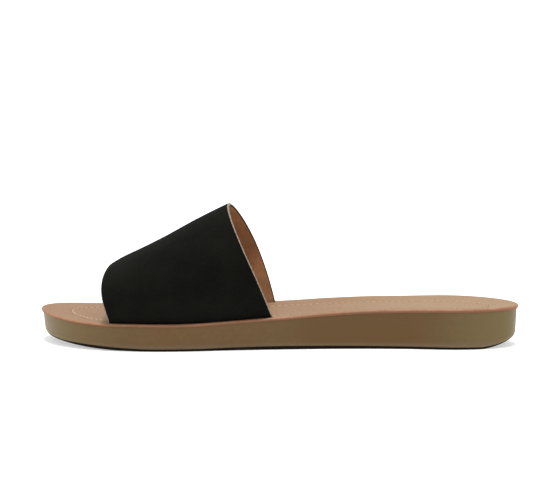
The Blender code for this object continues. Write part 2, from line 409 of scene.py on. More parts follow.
class RingBody:
    """A closed body: an edge loop round the outline, extruded ring by ring and filled at both ends."""

    def __init__(self, name: str, last: Last, stations: int) -> None:
        """Adds the loop.

        Args:
            name: The piece's name.
            last: The shared plan and heights.
            stations: Steps from toe to heel along each side.
        """
        self.last = last
        self.stations = stations
        steps = [(turn / stations, Side.LATERAL) for turn in range(stations + 1)]
        steps += [(turn / stations, Side.MEDIAL) for turn in range(stations - 1, 0, -1)]
        self.edge = [last.outline_point(turn, side) for turn, side in steps]
        self.inward = [last.outline_inward(turn, side) for turn, side in steps]
        self.eased = self.ease()
        self.first = Vector((0, -last.middle_y, 0))
        self.rings = 0
        deselect_all()
        bpy.ops.mesh.primitive_circle_add(vertices=2 * stations, radius=last.length / 2)
        self.piece = name_new(name)
        bpy.ops.object.mode_set(mode="EDIT")
        bpy.ops.mesh.select_all(action="SELECT")
        mesh = self.open()
        mesh.verts.layers.int.new("station")
        mesh.verts.layers.int.new("ring")
        mesh.verts.layers.float.new("inset")
        station = mesh.verts.layers.int["station"]
        for number, vert in enumerate(mesh.verts):
            vert[station] = number

    def ease(self) -> list[Vector]:
        """Directions across the edge, averaged along it so that inner rings stay round at both ends.

        Returns:
            One unit vector for each station.
        """
        last, count = self.last, len(self.edge)
        eased = []
        for number in range(count):
            total = self.inward[number].copy()
            for way in (-1, 1):
                gone, here = 0.0, number
                while gone < last.ease_run:
                    after = (here + way) % count
                    step = (self.edge[after] - self.edge[here]).length
                    gone += step
                    share = max(1 - gone / last.ease_run, 0.0)
                    total += self.inward[after] * share * step * last.ease_weight
                    here = after
            eased.append(total.normalized())
        return eased

    def spot(self, number: int, inset: float) -> Vector:
        """Point at this inset from the edge, in plan.

        Args:
            number: The station.
            inset: The inset.

        Returns:
            The point, before the shoe is centred.
        """
        deep = smooth_step(*self.last.ease_insets, inset)
        across = self.inward[number].lerp(self.eased[number], deep).normalized()
        return self.edge[number] + across * inset

    def open(self) -> bmesh.types.BMesh:
        """The mesh in edit mode."""
        return bmesh.from_edit_mesh(self.piece.data)

    def show(self) -> None:
        """Writes the changed places back to the mesh in edit mode."""
        bmesh.update_edit_mesh(self.piece.data)

    def ring(self, inset_at: Along, height_at: Along) -> None:
        """Adds one ring to the body.

        Args:
            inset_at: Inset from the edge, by X of the edge.
            height_at: Height, by X of the ring's own point.
        """
        if self.rings:
            bpy.ops.mesh.extrude_region_move()
        self.rings += 1
        mesh = self.open()
        layers = mesh.verts.layers
        station, ring, inset = layers.int["station"], layers.int["ring"], layers.float["inset"]
        for vert in mesh.verts:
            if not vert.select:
                continue
            number = vert[station]
            vert[inset] = inset_at(self.edge[number].x)
            place = self.spot(number, vert[inset])
            place.z = height_at(place.x)
            vert.co = place + self.first
            vert[ring] = self.rings
        self.show()

    def fill(self, ring_number: int, span: int, height_at: Callable[[float, float], float]) -> None:
        """Closes one ring with a grid that runs along the shoe.

        Args:
            ring_number: Which ring, 1 for the first.
            span: Columns across the toe and the heel.
            height_at: Height by X and Y, before the shoe is centred.
        """
        mesh = self.open()
        station, ring = mesh.verts.layers.int["station"], mesh.verts.layers.int["ring"]
        bpy.ops.mesh.select_all(action="DESELECT")
        mesh.select_history.clear()
        for vert in mesh.verts:
            if vert[ring] == ring_number:
                vert.select = True
                if vert[station] == 2 * self.stations - span // 2:
                    mesh.select_history.add(vert)
        mesh.select_flush(True)
        before = len(mesh.verts)
        self.show()
        bpy.ops.mesh.fill_grid(span=span, use_interp_simple=True)
        mesh = self.open()
        mesh.verts.ensure_lookup_table()
        ring, inset = mesh.verts.layers.int["ring"], mesh.verts.layers.float["inset"]
        deepest = max(vert[inset] for vert in mesh.verts[:before] if vert[ring] == ring_number)
        for vert in mesh.verts[before:]:
            vert[ring] = -1
            vert[inset] = deepest
            vert.co.z = height_at(vert.co.x, vert.co.y - self.first.y)
        self.show()

    def finish(self, run: Sequence[float], angle: float) -> bpy.types.Object:
        """Ends edit mode and gives the piece its map along and across the edge.

        Args:
            run: Length along the edge at each station, and once more at the end for the whole of it.
            angle: Sharpest angle that is shaded smooth, in degrees.

        Returns:
            The piece.
        """
        bpy.ops.mesh.select_all(action="SELECT")
        bpy.ops.mesh.normals_make_consistent(inside=False)
        mesh = self.open()
        layers = mesh.verts.layers
        station, ring, inset = layers.int["station"], layers.int["ring"], layers.float["inset"]
        places = mesh.loops.layers.uv.new("edge_run")
        count = 2 * self.stations
        for face in mesh.faces:
            closes = any(vert[station] == count - 1 and vert[ring] > 0 for vert in face.verts)
            for loop in face.loops:
                vert = loop.vert
                number = vert[station] if vert[ring] > 0 else 0
                along = run[count] if closes and number == 0 else run[number]
                loop[places].uv = (along, vert[inset])
        self.show()
        bpy.ops.object.mode_set(mode="OBJECT")
        for spent in ("station", "ring"):
            self.piece.data.attributes.remove(self.piece.data.attributes[spent])
        smooth(self.piece, angle)
        return self.piece


class Sketch:
    """Adds shader nodes to one tree and joins them."""

    def __init__(self, tree: bpy.types.NodeTree) -> None:
        """Takes the tree."""
        self.tree = tree

    def add(self, kind: str, inputs: dict[str | int, Any] | None = None, **settings: Any) -> bpy.types.Node:
        """Adds one node.

        Args:
            kind: The node's type name, without the common prefix.
            inputs: Sockets by name or number, each with a value or with the output that feeds it.
            **settings: The node's own properties.

        Returns:
            The node.
        """
        node = self.tree.nodes.new(f"ShaderNode{kind}")
        for name, value in settings.items():
            setattr(node, name, value)
        for key, value in (inputs or {}).items():
            if isinstance(value, bpy.types.NodeSocket):
                self.tree.links.new(value, node.inputs[key])
            else:
                node.inputs[key].default_value = value
        return node

    def sum(self, operation: str, first: Any, second: Any = 0.0, clamp: bool = False) -> bpy.types.NodeSocket:
        """Adds a Math node for this operation, kept between 0 and 1 where clamp is set."""
        return self.add("Math", {0: first, 1: second}, operation=operation, use_clamp=clamp).outputs[0]

    def between(self, value: Any, low: float, high: float, to_low: float = 0.0, to_high: float = 1.0) -> Any:
        """Maps an output from its range of low to high onto another range, with soft ends."""
        inputs = {"Value": value, "From Min": low, "From Max": high, "To Min": to_low, "To Max": to_high}
        return self.add("MapRange", inputs, interpolation_type="SMOOTHSTEP").outputs["Result"]

    def mix(self, factor: Any, first: Any, second: Any, blend: str = "MIX") -> bpy.types.NodeSocket:
        """Mixes two colours.

        Args:
            factor: How much of the second.
            first: The first colour or the output that feeds it.
            second: The second colour or the output that feeds it.
            blend: How they mix.

        Returns:
            The mixed colour.
        """
        node = self.add("Mix", data_type="RGBA", blend_type=blend)
        for socket, value in ((0, factor), (6, first), (7, second)):
            if isinstance(value, bpy.types.NodeSocket):
                self.tree.links.new(value, node.inputs[socket])
            elif isinstance(value, tuple):
                node.inputs[socket].default_value = (*value, 1.0)
            else:
                node.inputs[socket].default_value = value
        return node.outputs[2]


class Effect:
    """A shader node group that several finishes share, built once."""

    name = "effect"
    takes: tuple[tuple[str, float], ...] = ()
    gives: tuple[str, ...] = ()

    @classmethod
    def group(cls) -> bpy.types.NodeTree:
        """The node group, made at its first use.

        Returns:
            The group.
        """
        found = bpy.data.node_groups.get(cls.name)
        if found:
            return found
        tree = bpy.data.node_groups.new(cls.name, "ShaderNodeTree")
        tree.interface.new_socket(name="Vector", in_out="INPUT", socket_type="NodeSocketVector")
        for title, value in cls.takes:
            socket = tree.interface.new_socket(name=title, in_out="INPUT", socket_type="NodeSocketFloat")
            socket.default_value = value
        for title in cls.gives:
            tree.interface.new_socket(name=title, in_out="OUTPUT", socket_type="NodeSocketFloat")
        enter = tree.nodes.new("NodeGroupInput")
        leave = tree.nodes.new("NodeGroupOutput")
        cls.draw(Sketch(tree), enter, leave)
        return tree

    @classmethod
    def draw(cls, sketch: Sketch, enter: bpy.types.Node, leave: bpy.types.Node) -> None:
        """Fills the group with nodes; each effect has its own."""
        raise NotImplementedError

    @classmethod
    def use(cls, sketch: Sketch, vector: Any, **values: float) -> bpy.types.Node:
        """Places the group in a material.

        Args:
            sketch: The material's tree.
            vector: The coordinates that feed it.
            **values: Its inputs, with spaces as underscores.

        Returns:
            The group's node.
        """
        node = sketch.tree.nodes.new("ShaderNodeGroup")
        node.node_tree = cls.group()
        sketch.tree.links.new(vector, node.inputs["Vector"])
        for name, value in values.items():
            node.inputs[name.replace("_", " ")].default_value = value
        return node


class Clouds(Effect):
    """Soft, wide changes of tone over a surface."""

    name = "clouds"
    takes = (("Scale", 40.0), ("Softness", 0.2))
    gives = ("Mask",)
    detail = 4.0
    roughness = 0.55

    @classmethod
    def draw(cls, sketch: Sketch, enter: bpy.types.Node, leave: bpy.types.Node) -> None:
        """Pulls wide noise apart about its middle.

        Args:
            sketch: The group's tree.
            enter: The node that brings its inputs.
            leave: The node that takes its outputs.
        """
        inputs = {name: enter.outputs[name] for name in ("Vector", "Scale")}
        wide = sketch.add("TexNoise", {**inputs, "Detail": cls.detail, "Roughness": cls.roughness}).outputs["Fac"]
        low = sketch.sum("SUBTRACT", 0.5, enter.outputs["Softness"])
        high = sketch.sum("ADD", 0.5, enter.outputs["Softness"])
        spread = sketch.add("MapRange", {"Value": wide, "From Min": low, "From Max": high})
        sketch.tree.links.new(spread.outputs["Result"], leave.inputs["Mask"])


class Nap(Effect):
    """Short raised fibres, for nubuck, the lining's flesh side, cut edges and thread."""

    name = "nap"
    takes = (("Size", 2500.0), ("Tangle", 1.0))
    gives = ("Height", "Tips")
    tuft_scale = 0.37
    hair_share = 0.6
    tuft_share = 0.4
    tip_span = (0.42, 0.62)

    @classmethod
    def draw(cls, sketch: Sketch, enter: bpy.types.Node, leave: bpy.types.Node) -> None:
        """Lays bent fine noise over tufts nearly three times as wide.

        Args:
            sketch: The group's tree.
            enter: The node that brings its inputs.
            leave: The node that takes its outputs.
        """
        vector, size = enter.outputs["Vector"], enter.outputs["Size"]
        fine = {"Vector": vector, "Scale": size, "Detail": 3.0, "Distortion": enter.outputs["Tangle"]}
        hairs = sketch.add("TexNoise", fine).outputs["Fac"]
        coarse = sketch.sum("MULTIPLY", size, cls.tuft_scale)
        tufts = sketch.add("TexNoise", {"Vector": vector, "Scale": coarse, "Detail": 2.0}).outputs["Fac"]
        hairs = sketch.sum("MULTIPLY", hairs, cls.hair_share)
        height = sketch.sum("ADD", hairs, sketch.sum("MULTIPLY", tufts, cls.tuft_share))
        tips = sketch.between(height, *cls.tip_span)
        sketch.tree.links.new(height, leave.inputs["Height"])
        sketch.tree.links.new(tips, leave.inputs["Tips"])


class Pebble(Effect):
    """Printed leather grain: low cushions with creased lines between them."""

    name = "pebble"
    takes = (("Size", 900.0), ("Crease", 0.12))
    gives = ("Height", "Creases")
    bend_scale = 0.6
    bend_reach = 0.0007
    pore_scale = 3.0
    pore_share = 0.35

    @classmethod
    def draw(cls, sketch: Sketch, enter: bpy.types.Node, leave: bpy.types.Node) -> None:
        """Lays cells with wandering borders, and pores inside them.

        Args:
            sketch: The group's tree.
            enter: The node that brings its inputs.
            leave: The node that takes its outputs.
        """
        vector, size = enter.outputs["Vector"], enter.outputs["Size"]
        wide = sketch.sum("MULTIPLY", size, cls.bend_scale)
        bend = sketch.add("TexNoise", {"Vector": vector, "Scale": wide, "Detail": 2.0})
        offset = sketch.add("VectorMath", {0: bend.outputs["Color"], 1: (0.5, 0.5, 0.5)}, operation="SUBTRACT")
        push = sketch.add("VectorMath", {0: offset.outputs[0], "Scale": cls.bend_reach}, operation="SCALE")
        bent = sketch.add("VectorMath", {0: vector, 1: push.outputs[0]}, operation="ADD").outputs[0]
        cells = sketch.add("TexVoronoi", {"Vector": bent, "Scale": size}, feature="DISTANCE_TO_EDGE")
        line = sketch.add("MapRange", {"Value": cells.outputs["Distance"], "From Max": enter.outputs["Crease"]})
        fine = sketch.sum("MULTIPLY", size, cls.pore_scale)
        pores = sketch.add("TexNoise", {"Vector": vector, "Scale": fine, "Detail": 2.0}).outputs["Fac"]
        lifted = sketch.sum("ADD", line.outputs["Result"], sketch.sum("MULTIPLY", pores, cls.pore_share))
        sketch.tree.links.new(lifted, leave.inputs["Height"])
        gaps = sketch.sum("SUBTRACT", 1.0, line.outputs["Result"], clamp=True)
        sketch.tree.links.new(gaps, leave.inputs["Creases"])


class Coat(Sketch):
    """One material in the making: its nodes, its Principled shader and its object coordinates."""

    def __init__(self, name: str) -> None:
        """Makes the empty material.

        Args:
            name: The material's name.
        """
        self.material = bpy.data.materials.new(name)
        self.material.use_nodes = True
        super().__init__(self.material.node_tree)
        self.shader = self.tree.nodes["Principled BSDF"]
        self.place = self.add("TexCoord").outputs["Object"]

    def axis(self, name: str) -> bpy.types.NodeSocket:
        """One of the object coordinates, in metres."""
        return self.add("SeparateXYZ", {0: self.place}).outputs[name]

    def lengthwise(self) -> bpy.types.NodeSocket:
        """Object coordinates on which a pattern is drawn out from toe to heel."""
        return self.add("Mapping", {"Vector": self.place, "Scale": LENGTHWISE}).outputs["Vector"]

    def tint(self, mask: Any, share: float, colour: Any, other: Any) -> bpy.types.NodeSocket:
        """Mixes in the other colour where the mask lies, up to this share of it."""
        return self.mix(self.sum("MULTIPLY", mask, share), colour, other)

    def set(self, **values: Any) -> None:
        """Sets sockets of the shader, named with underscores for spaces."""
        for name, value in values.items():
            self.shader.inputs[name.replace("_", " ")].default_value = value


class Surface(NamedTuple):
    """What a finish feeds its shader: colour, the mask that roughens it, and the height of its grain."""

    colour: Any
    rough: Any
    height: Any = None


@dataclass(frozen=True)
class Finish:
    """What every finish shares: its name, its gloss, and how its grain roughens and lifts the surface."""

    name: str
    roughness: Span
    rough_span: Span = (0.3, 0.7)
    specular: float = 0.15
    grain_height: float = 0.0001
    grain_share: float = 0.6

    def dress(self, coat: Coat) -> Surface:
        """Draws the finish's nodes; each finish has its own."""
        raise NotImplementedError

    def make(self) -> bpy.types.Material:
        """Makes the material.

        Returns:
            The material.
        """
        coat = Coat(self.name)
        surface = self.dress(coat)
        links = coat.tree.links
        links.new(surface.colour, coat.shader.inputs["Base Color"])
        rough = coat.between(surface.rough, *self.rough_span, *self.roughness)
        links.new(rough, coat.shader.inputs["Roughness"])
        if surface.height is not None:
            inputs = {"Height": surface.height, "Distance": self.grain_height, "Strength": self.grain_share}
            links.new(coat.add("Bump", inputs).outputs["Normal"], coat.shader.inputs["Normal"])
        coat.set(Specular_IOR_Level=self.specular)
        return coat.material


@dataclass(frozen=True)
class MouldedSole(Finish):
    """Satin moulded rubber with a faint cloudiness and the mould's fine grain, with painted light on its wall:
    lighter and greener at toe and heel, painted shade along the waist, and a painted reflection of the floor along
    its low foot.
    """

    name: str = "moulded_sole"
    roughness: Span = (0.37, 0.50)
    specular: float = 0.18
    grain_height: float = 0.00006
    grain_share: float = 0.5
    body: Colour = linear(101, 74, 42)
    cool: Colour = linear(96, 78, 48)
    # Painted shade: the wall darker along the waist.
    waist_shade: Colour = linear(93, 67, 35)
    # Painted light: the wall lighter and greener at toe and heel, where the side light falls.
    ends: Colour = linear(106, 90, 56)
    # Painted reflection of the floor: the wall lighter along its low rounded foot.
    foot: Colour = linear(113, 96, 77)
    speck: Span = (0.94, 1.06)
    waist_shade_front: Span = (-0.005, 0.025)
    waist_shade_back: Span = (0.065, 0.095)
    waist_shade_share: float = 0.8
    toe: Span = (-0.125, -0.070)
    toe_light_share: float = 0.9
    heel: Span = (0.080, 0.118)
    floor_bounce_band: Span = (0.0008, 0.0045)
    floor_bounce_share: float = 0.65

    def dress(self, coat: Coat) -> Surface:
        """Lays clouds and specks, then painted shade along the waist, painted light at the two ends and a painted
        floor reflection on the low foot of the wall.

        Args:
            coat: The material in the making.

        Returns:
            The surface.
        """
        clouds = Clouds.use(coat, coat.lengthwise(), Scale=38.0, Softness=0.22).outputs["Mask"]
        fine = Clouds.use(coat, coat.place, Scale=420.0, Softness=0.25).outputs["Mask"]
        grain = Nap.use(coat, coat.place, Size=1900.0, Tangle=0.3).outputs["Height"]
        speck = coat.between(fine, 0.0, 1.0, *self.speck)
        shade = coat.add("CombineColor", {0: speck, 1: speck, 2: speck}).outputs[0]
        colour = coat.mix(1.0, coat.mix(clouds, self.body, self.cool), shade, "MULTIPLY")
        along = coat.axis("X")
        after = coat.between(along, *self.waist_shade_front, 0.0, self.waist_shade_share)
        before = coat.between(along, *self.waist_shade_back, 1.0, 0.0)
        # Painted shade along the waist.
        colour = coat.mix(coat.sum("MULTIPLY", after, before), colour, self.waist_shade)
        # Painted light at the toe and the heel.
        toe = coat.between(along, *self.toe, self.toe_light_share, 0.0)
        heel = coat.between(along, *self.heel)
        colour = coat.mix(coat.sum("ADD", toe, heel), colour, self.ends)
        # Painted reflection of the floor, lighter along the low foot of the wall.
        low = coat.between(coat.axis("Z"), *self.floor_bounce_band, self.floor_bounce_share, 0.0)
        return Surface(coat.mix(low, colour, self.foot), grain, grain)


@dataclass(frozen=True)
class TreadRubberAndShade(Finish):
    """Near-black matt rubber of the tread, dusty where it is raised; its near-black band also serves as painted
    shadow under the sole's foot.
    """

    name: str = "tread_rubber_and_shade"
    roughness: Span = (0.75, 0.87)
    specular: float = 0.10
    grain_height: float = 0.00008
    grain_share: float = 0.5
    # Near-black: the rubber's own colour, and painted shadow under the sole's foot.
    black_rubber_and_shadow: Colour = linear(20, 16, 12)
    dusty: Colour = linear(34, 29, 24)

    def dress(self, coat: Coat) -> Surface:
        """Lays dust on the tips of the grain.

        Args:
            coat: The material in the making.

        Returns:
            The surface.
        """
        dust = Clouds.use(coat, coat.place, Scale=70.0, Softness=0.2).outputs["Mask"]
        grain = Nap.use(coat, coat.place, Size=1600.0, Tangle=0.4).outputs
        tone = coat.sum("MULTIPLY", dust, grain["Tips"])
        return Surface(coat.mix(tone, self.black_rubber_and_shadow, self.dusty), grain["Height"], grain["Height"])


@dataclass(frozen=True)
class FootbedLeather(Finish):
    """Tan faux leather with a printed grain, a painted edge and a pressed line for the stitches."""

    name: str = "tan_footbed"
    roughness: Span = (0.50, 0.68)
    rough_span: Span = (0.0, 1.0)
    specular: float = 0.20
    grain_height: float = 0.00012
    grain_share: float = 0.55
    top: Colour = linear(150, 121, 92)
    warm: Colour = linear(142, 110, 81)
    back: Colour = linear(152, 127, 99)
    back_run: Span = (0.010, 0.100)
    back_share: float = 0.75
    crease: Colour = linear(122, 90, 66)
    crease_share: float = 0.35
    channel: Colour = linear(132, 100, 76)
    channel_inset: float = 0.0150
    channel_half: Span = (0.0004, 0.0010)
    channel_share: float = 0.4
    hole: Colour = linear(92, 62, 44)
    hole_ends: Span = (0.40, 0.46)
    hole_half: Span = (0.0001, 0.0004)
    hole_share: float = 0.6
    pitch: float = 0.0034
    rim: Colour = linear(158, 115, 88)
    # Painted shade: the edge paint as it looks in shade, also used for its streaks and worn patches.
    rim_shaded_and_worn: Colour = linear(118, 80, 56)
    rim_run: Span = (0.00072, 0.0016)
    # Span of the normal's Z over which the edge turns from painted shade to the lit edge colour.
    rim_shade_facing: Span = (-0.3, 0.6)
    streak_share: float = 0.25
    worn_share: float = 0.40

    def dress(self, coat: Coat) -> Surface:
        """Lays the grain, then the pressed line with its needle holes, then the painted edge, with painted shade
        where the edge turns down.

        Args:
            coat: The material in the making.

        Returns:
            The surface.
        """
        clouds = Clouds.use(coat, coat.lengthwise(), Scale=60.0, Softness=0.24).outputs["Mask"]
        grain = Pebble.use(coat, coat.place, Size=1700.0, Crease=0.16).outputs
        colour = coat.mix(clouds, self.top, self.warm)
        back = coat.between(coat.axis("X"), *self.back_run, 0.0, self.back_share)
        colour = coat.mix(back, colour, self.back)
        colour = coat.tint(grain["Creases"], self.crease_share, colour, self.crease)

        run = coat.add("SeparateXYZ", {0: coat.add("UVMap", uv_map="edge_run").outputs["UV"]}).outputs
        off = coat.sum("ABSOLUTE", coat.sum("SUBTRACT", run["Y"], self.channel_inset))
        pressed = coat.between(off, *self.channel_half, self.channel_share, 0.0)
        colour = coat.mix(pressed, colour, self.channel)
        beat = coat.sum("FRACT", coat.sum("DIVIDE", run["X"], self.pitch))
        away = coat.sum("ABSOLUTE", coat.sum("SUBTRACT", beat, 0.5))
        hole = coat.sum("MULTIPLY", coat.between(away, *self.hole_ends), coat.between(off, *self.hole_half, 1.0, 0.0))
        colour = coat.tint(hole, self.hole_share, colour, self.hole)

        inset = coat.add("Attribute", attribute_name="inset").outputs["Fac"]
        edge = coat.between(inset, *self.rim_run, 1.0, 0.0)
        bearing = coat.add("SeparateXYZ", {0: coat.add("NewGeometry").outputs["Normal"]}).outputs["Z"]
        # Painted shade: the edge darker where its normal turns down.
        painted = coat.mix(coat.between(bearing, *self.rim_shade_facing), self.rim_shaded_and_worn, self.rim)
        streaks = Nap.use(coat, coat.lengthwise(), Size=1200.0, Tangle=0.2).outputs["Tips"]
        painted = coat.tint(streaks, self.streak_share, painted, self.rim_shaded_and_worn)
        worn = Clouds.use(coat, coat.place, Scale=130.0, Softness=0.12).outputs["Mask"]
        painted = coat.tint(worn, self.worn_share, painted, self.rim_shaded_and_worn)
        flat = coat.sum("SUBTRACT", 1.0, edge, clamp=True)
        height = coat.sum("MULTIPLY", grain["Height"], flat)
        return Surface(coat.mix(edge, colour, painted), grain["Creases"], height)


@dataclass(frozen=True)
class Nubuck(Finish):
    """Black nubuck: a deep matt nap with faint hand marks."""

    name: str = "black_nubuck"
    roughness: Span = (0.92, 0.82)
    specular: float = 0.02
    grain_height: float = 0.00012
    deep: Colour = (0.0036, 0.0036, 0.0030)
    brushed: Colour = (0.0076, 0.0076, 0.0062)
    mark_share: float = 0.6
    tip_share: float = 0.4
    sheen: float = 0.006
    sheen_roughness: float = 0.4
    sheen_tint: Colour = (0.9, 0.9, 0.75)

    def dress(self, coat: Coat) -> Surface:
        """Lays hand marks and brushed tips over the deep nap, with a trace of sheen.

        Args:
            coat: The material in the making.

        Returns:
            The surface.
        """
        marks = Clouds.use(coat, coat.place, Scale=55.0, Softness=0.2).outputs["Mask"]
        nap = Nap.use(coat, coat.place, Size=2600.0, Tangle=1.2).outputs
        tips = coat.sum("MULTIPLY", nap["Tips"], self.tip_share)
        tone = coat.sum("ADD", coat.sum("MULTIPLY", marks, self.mark_share), tips, clamp=True)
        coat.set(Sheen_Weight=self.sheen, Sheen_Roughness=self.sheen_roughness, Sheen_Tint=(*self.sheen_tint, 1.0))
        return Surface(coat.mix(tone, self.deep, self.brushed), nap["Height"], nap["Height"])


@dataclass(frozen=True)
class Lining(Finish):
    """The strap's brown inside: a soft suede-like face, flecked dark and spotted orange."""

    name: str = "brown_lining"
    roughness: Span = (0.85, 0.75)
    grain_height: float = 0.00015
    body: Colour = linear(158, 113, 79)
    dark: Colour = linear(118, 88, 60)
    fleck_share: float = 0.45
    orange: Colour = linear(170, 98, 54)
    spot_share: float = 0.30

    def dress(self, coat: Coat) -> Surface:
        """Lays dark marks, dark flecks and orange spots.

        Args:
            coat: The material in the making.

        Returns:
            The surface.
        """
        marks = Clouds.use(coat, coat.place, Scale=90.0, Softness=0.2).outputs["Mask"]
        nap = Nap.use(coat, coat.place, Size=1000.0, Tangle=0.8).outputs
        spots = Clouds.use(coat, coat.place, Scale=420.0, Softness=0.10).outputs["Mask"]
        colour = coat.mix(marks, self.body, self.dark)
        colour = coat.tint(nap["Tips"], self.fleck_share, colour, self.dark)
        return Surface(coat.tint(spots, self.spot_share, colour, self.orange), nap["Height"], nap["Height"])


@dataclass(frozen=True)
class RawEdge(Finish):
    """The strap's cut edge: pale fibres between the nubuck and the lining."""

    name: str = "raw_edge"
    roughness: Span = (0.9, 0.8)
    pale: Colour = linear(164, 151, 138)
    core: Colour = linear(116, 101, 86)

    def dress(self, coat: Coat) -> Surface:
        """Lays pale fibres over the core."""
        fibres = Nap.use(coat, coat.place, Size=2400.0, Tangle=0.6).outputs
        return Surface(coat.mix(fibres["Tips"], self.core, self.pale), fibres["Height"], fibres["Height"])


@dataclass(frozen=True)
class Thread(Finish):
    """Cream sewing thread with the twist of its plies, dulled where the heel rubs it."""

    name: str = "cream_thread"
    roughness: Span = (0.6, 0.7)
    specular: float = 0.5
    grain_share: float = 0.5
    # Painted light and shade: light on the twist's ridges, deep in its grooves.
    light: Colour = linear(214, 192, 162)
    deep: Colour = linear(168, 140, 108)
    dulled: Colour = linear(158, 130, 102)
    fibre_share: float = 0.5
    rubbed_from: Span = (-0.010, 0.030)
    rubbed_across: Span = (-0.005, 0.010)
    rubbed_share: Span = (0.85, 0.30)

    def dress(self, coat: Coat) -> Surface:
        """Lays the twist with its fibres, with painted shade in the twist's grooves, and dulls the back of the line.

        Args:
            coat: The material in the making.

        Returns:
            The surface.
        """
        wave = {"Vector": coat.place, "Scale": 900.0, "Distortion": 1.0}
        twist = coat.add("TexWave", wave, bands_direction="DIAGONAL").outputs["Fac"]
        fibres = Nap.use(coat, coat.place, Size=4000.0, Tangle=0.5).outputs["Height"]
        height = coat.sum("ADD", twist, coat.sum("MULTIPLY", fibres, self.fibre_share))
        back = coat.between(coat.axis("X"), *self.rubbed_from)
        near = coat.between(coat.axis("Y"), *self.rubbed_across, *self.rubbed_share)
        # Painted shade: darker in the twist's grooves, lighter on its ridges.
        colour = coat.mix(twist, self.deep, self.light)
        return Surface(coat.mix(coat.sum("MULTIPLY", back, near), colour, self.dulled), fibres, height)


@dataclass(frozen=True)
class StudioFloor(Finish):
    """Matt white studio card, lit a little from below so that shadows on it stay pale."""

    name: str = "studio_card"
    roughness: Span = (0.88, 0.95)
    rough_span: Span = (0.0, 1.0)
    specular: float = 0.1
    white: Colour = (0.70, 0.70, 0.70)
    shade: Colour = (0.67, 0.67, 0.67)
    tooth_share: float = 0.4
    glow: float = 0.50

    def dress(self, coat: Coat) -> Surface:
        """Lays the card's faint tooth, and lights it.

        Args:
            coat: The material in the making.

        Returns:
            The surface.
        """
        tooth = Clouds.use(coat, coat.place, Scale=300.0, Softness=0.3).outputs["Mask"]
        coat.set(Emission_Color=(1.0, 1.0, 1.0, 1.0), Emission_Strength=self.glow)
        return Surface(coat.tint(tooth, self.tooth_share, self.white, self.shade), tooth)


